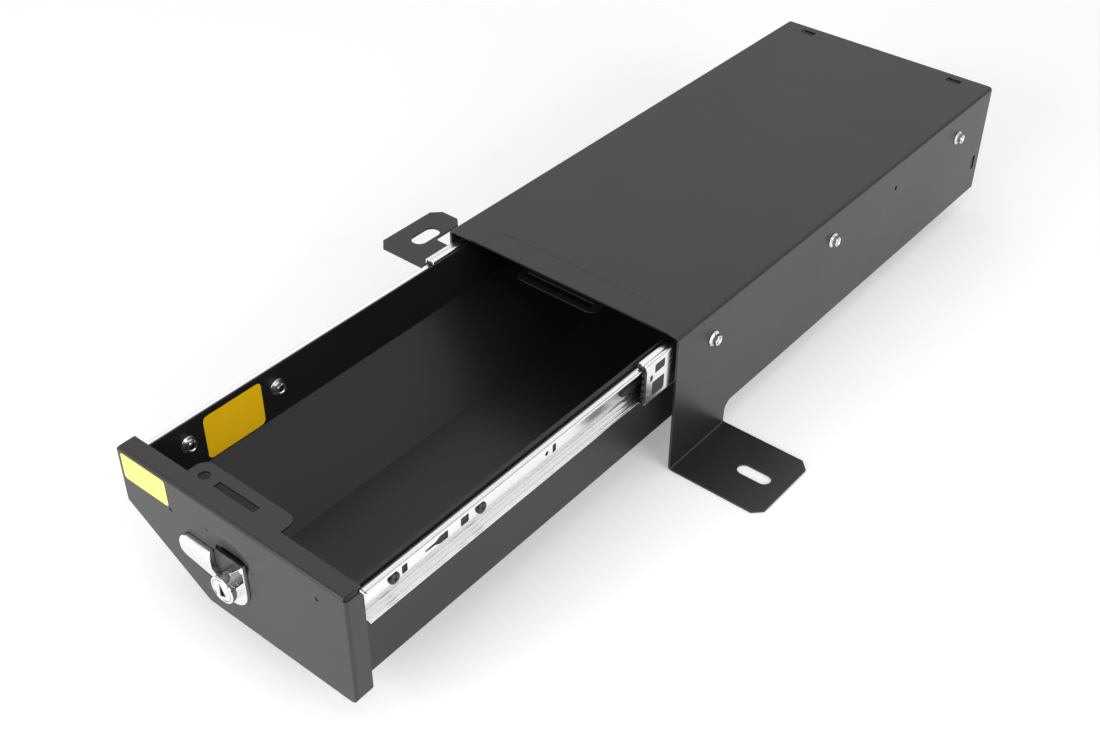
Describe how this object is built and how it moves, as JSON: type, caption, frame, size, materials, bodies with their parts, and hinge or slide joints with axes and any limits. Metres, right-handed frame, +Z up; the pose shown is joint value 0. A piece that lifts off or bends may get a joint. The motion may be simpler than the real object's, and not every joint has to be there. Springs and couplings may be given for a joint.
{
  "type": "under-seat security drawer",
  "caption": "Low black steel under-seat lockbox: a lockable drawer on ball-bearing slides in a folded housing with slotted feet.",
  "frame": {"origin": "middle of the right foot's slot, on the foot's underside", "axes": "+X towards the housing's right wall seen from the front, +Y along the drawer towards the rear, +Z up; the drawer opens towards -Y"},
  "size_m": [0.394, 0.848, 0.1285],
  "materials": {
    "black_coat": "satin black powder coat",
    "black_coat_inner": "satin black powder coat, in shade",
    "zinc_slide": "bright zinc plate",
    "steel_ball": "polished bearing steel",
    "zinc_screw": "zinc plate",
    "bright_nut": "bright plated hex nut",
    "dark_screw": "dark phosphate",
    "chrome_trim": "polished chrome",
    "black_plastic": "moulded black plastic",
    "front_sticker": "pale yellow blank sticker",
    "tray_sticker": "orange-yellow blank sticker"
  },
  "bodies": {
    "housing": {"housing_shell": "black_coat", "rear_panel": "black_coat", "strike_bracket": "black_coat_inner", "housing_screws": "zinc_screw", "housing_nuts": "bright_nut", "slide_outer_left": "zinc_slide", "slide_outer_right": "zinc_slide"},
    "drawer": {"drawer_tray": "black_coat_inner", "drawer_front_wall": "black_coat_inner", "drawer_back": "black_coat_inner", "drawer_screws": "dark_screw", "drawer_nuts": "bright_nut", "front_panel": "black_coat", "finger_pull": "chrome_trim", "lock_body": "chrome_trim", "lock_nut": "zinc_screw", "slide_inner_left": "zinc_slide", "slide_inner_right": "zinc_slide", "lever_rivets": "zinc_screw", "front_label": "front_sticker", "tray_label": "tray_sticker"},
    "lock_rotor": {"lock_plug": "chrome_trim", "lock_cam": "zinc_screw", "cam_screw": "zinc_screw"},
    "mid_left": {"slide_mid_left": "zinc_slide", "slide_bumpers_left": "black_plastic"},
    "outer_cage_left": {"cage_outer_left": "zinc_slide", "balls_outer_left": "steel_ball"},
    "inner_cage_left": {"cage_inner_left": "zinc_slide", "balls_inner_left": "steel_ball"},
    "lever_left": {"release_lever_left": "black_plastic"},
    "mid_right": {"slide_mid_right": "zinc_slide", "slide_bumpers_right": "black_plastic"},
    "outer_cage_right": {"cage_outer_right": "zinc_slide", "balls_outer_right": "steel_ball"},
    "inner_cage_right": {"cage_inner_right": "zinc_slide", "balls_inner_right": "steel_ball"},
    "lever_right": {"release_lever_right": "black_plastic"}
  },
  "joints": [
    {"name": "drawer_slide", "type": "slide", "parent": "housing", "child": "drawer", "axis": [0, -1, 0], "range_m": [-0.33, 0.1]},
    {"name": "lock_turn", "type": "hinge", "parent": "drawer", "child": "lock_rotor", "pos_m": [-0.1681, -0.3665, 0.0685], "axis": [0, 1, 0], "range_deg": [0, 90]},
    {"name": "mid_left_slide", "type": "slide", "parent": "housing", "child": "mid_left", "axis": [0, -1, 0], "range_m": [-0.052, 0.016]},
    {"name": "outer_cage_left_slide", "type": "slide", "parent": "housing", "child": "outer_cage_left", "axis": [0, -1, 0], "range_m": [-0.0262, 0.0082]},
    {"name": "inner_cage_left_slide", "type": "slide", "parent": "housing", "child": "inner_cage_left", "axis": [0, -1, 0], "range_m": [-0.1915, 0.0585]},
    {"name": "lever_turn_left", "type": "hinge", "parent": "drawer", "child": "lever_left", "pos_m": [-0.2666, -0.05648, 0.1017], "axis": [1, 0, 0], "range_deg": [-6, 6], "stiffness_Nm_per_rad": 0.05},
    {"name": "mid_right_slide", "type": "slide", "parent": "housing", "child": "mid_right", "axis": [0, -1, 0], "range_m": [-0.052, 0.016]},
    {"name": "outer_cage_right_slide", "type": "slide", "parent": "housing", "child": "outer_cage_right", "axis": [0, -1, 0], "range_m": [-0.0262, 0.0082]},
    {"name": "inner_cage_right_slide", "type": "slide", "parent": "housing", "child": "inner_cage_right", "axis": [0, -1, 0], "range_m": [-0.1915, 0.0585]},
    {"name": "lever_turn_right", "type": "hinge", "parent": "drawer", "child": "lever_right", "pos_m": [-0.0666, -0.05648, 0.1017], "axis": [1, 0, 0], "range_deg": [-6, 6], "stiffness_Nm_per_rad": 0.05}
  ],
  "couplings": [
    {"joint": "mid_left_slide", "follows": "drawer_slide", "ratio": 0.1545},
    {"joint": "outer_cage_left_slide", "follows": "drawer_slide", "ratio": 0.07725},
    {"joint": "inner_cage_left_slide", "follows": "drawer_slide", "ratio": 0.57725},
    {"joint": "mid_right_slide", "follows": "drawer_slide", "ratio": 0.1545},
    {"joint": "outer_cage_right_slide", "follows": "drawer_slide", "ratio": 0.07725},
    {"joint": "inner_cage_right_slide", "follows": "drawer_slide", "ratio": 0.57725}
  ]
}
